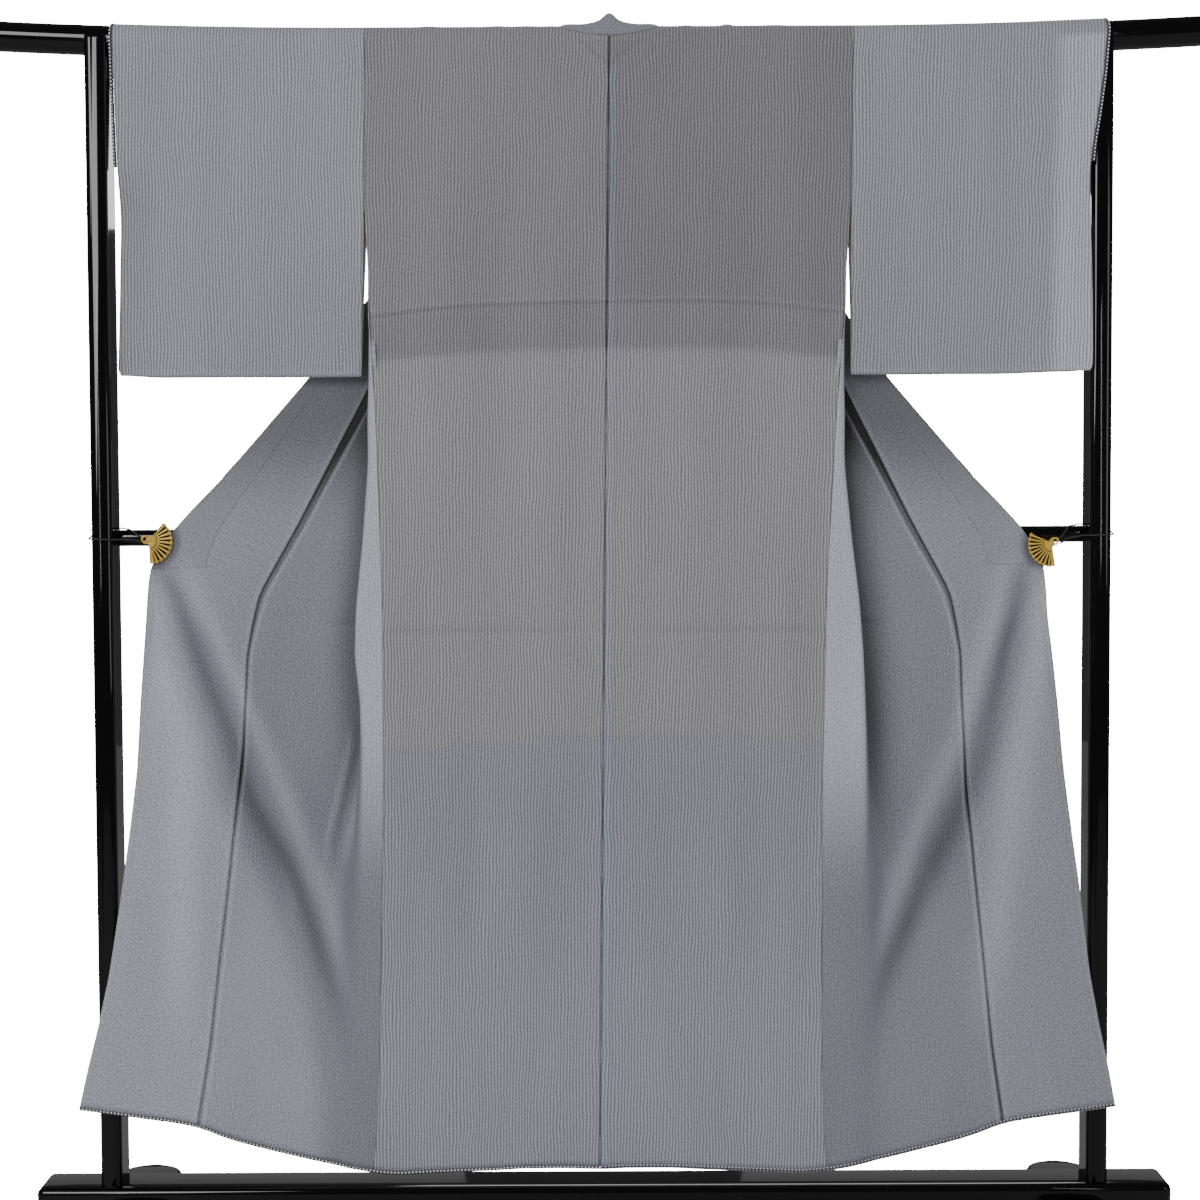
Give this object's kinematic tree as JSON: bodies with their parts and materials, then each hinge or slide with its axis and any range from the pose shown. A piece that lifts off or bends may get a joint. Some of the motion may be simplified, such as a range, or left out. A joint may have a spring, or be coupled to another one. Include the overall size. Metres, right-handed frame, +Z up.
{
  "type": "silk kimono on a display stand",
  "caption": "Lined silk robe hung by its shoulders over a stand's bar, back outward, with the front panels turned out and clipped to the uprights.",
  "frame": {"origin": "centre of the stand's footprint on the floor, straight below the top bar", "axes": "+Z up, +X towards the right-hand sleeve seen from the robe's back, -Y towards the viewer of the robe's back"},
  "size_m": [1.8022, 0.54, 1.6367],
  "materials": {
    "body_left": "fine striped silk, soft sheen",
    "body_right": "fine striped silk, soft sheen",
    "okumi_left": "fine striped silk, soft sheen",
    "okumi_right": "fine striped silk, soft sheen",
    "sleeve_left": "fine striped silk, soft sheen",
    "sleeve_right": "fine striped silk, soft sheen",
    "hem_lining_left": "dotted dark silk",
    "hem_lining_right": "dotted dark silk",
    "cuff_lining_left": "dotted dark silk",
    "cuff_lining_right": "dotted dark silk",
    "clip_left": "polished gilt metal",
    "clip_right": "polished gilt metal",
    "elastic_left": "round braided elastic",
    "elastic_right": "round braided elastic",
    "post_left": "black lacquer, gloss",
    "post_right": "black lacquer, gloss",
    "foot_left": "black lacquer, gloss",
    "foot_right": "black lacquer, gloss",
    "collar": "fine striped silk, soft sheen",
    "top_bar": "black lacquer, gloss",
    "crossbar": "black lacquer, gloss",
    "base_beam": "black lacquer, gloss"
  },
  "bodies": {
    "root": {"body_left": "body_left", "body_right": "body_right", "okumi_left": "okumi_left", "okumi_right": "okumi_right", "sleeve_left": "sleeve_left", "sleeve_right": "sleeve_right", "hem_lining_left": "hem_lining_left", "hem_lining_right": "hem_lining_right", "cuff_lining_left": "cuff_lining_left", "cuff_lining_right": "cuff_lining_right", "clip_left": "clip_left", "clip_right": "clip_right", "elastic_left": "elastic_left", "elastic_right": "elastic_right", "post_left": "post_left", "post_right": "post_right", "foot_left": "foot_left", "foot_right": "foot_right", "collar": "collar", "top_bar": "top_bar", "crossbar": "crossbar", "base_beam": "base_beam"}
  },
  "joints": []
}
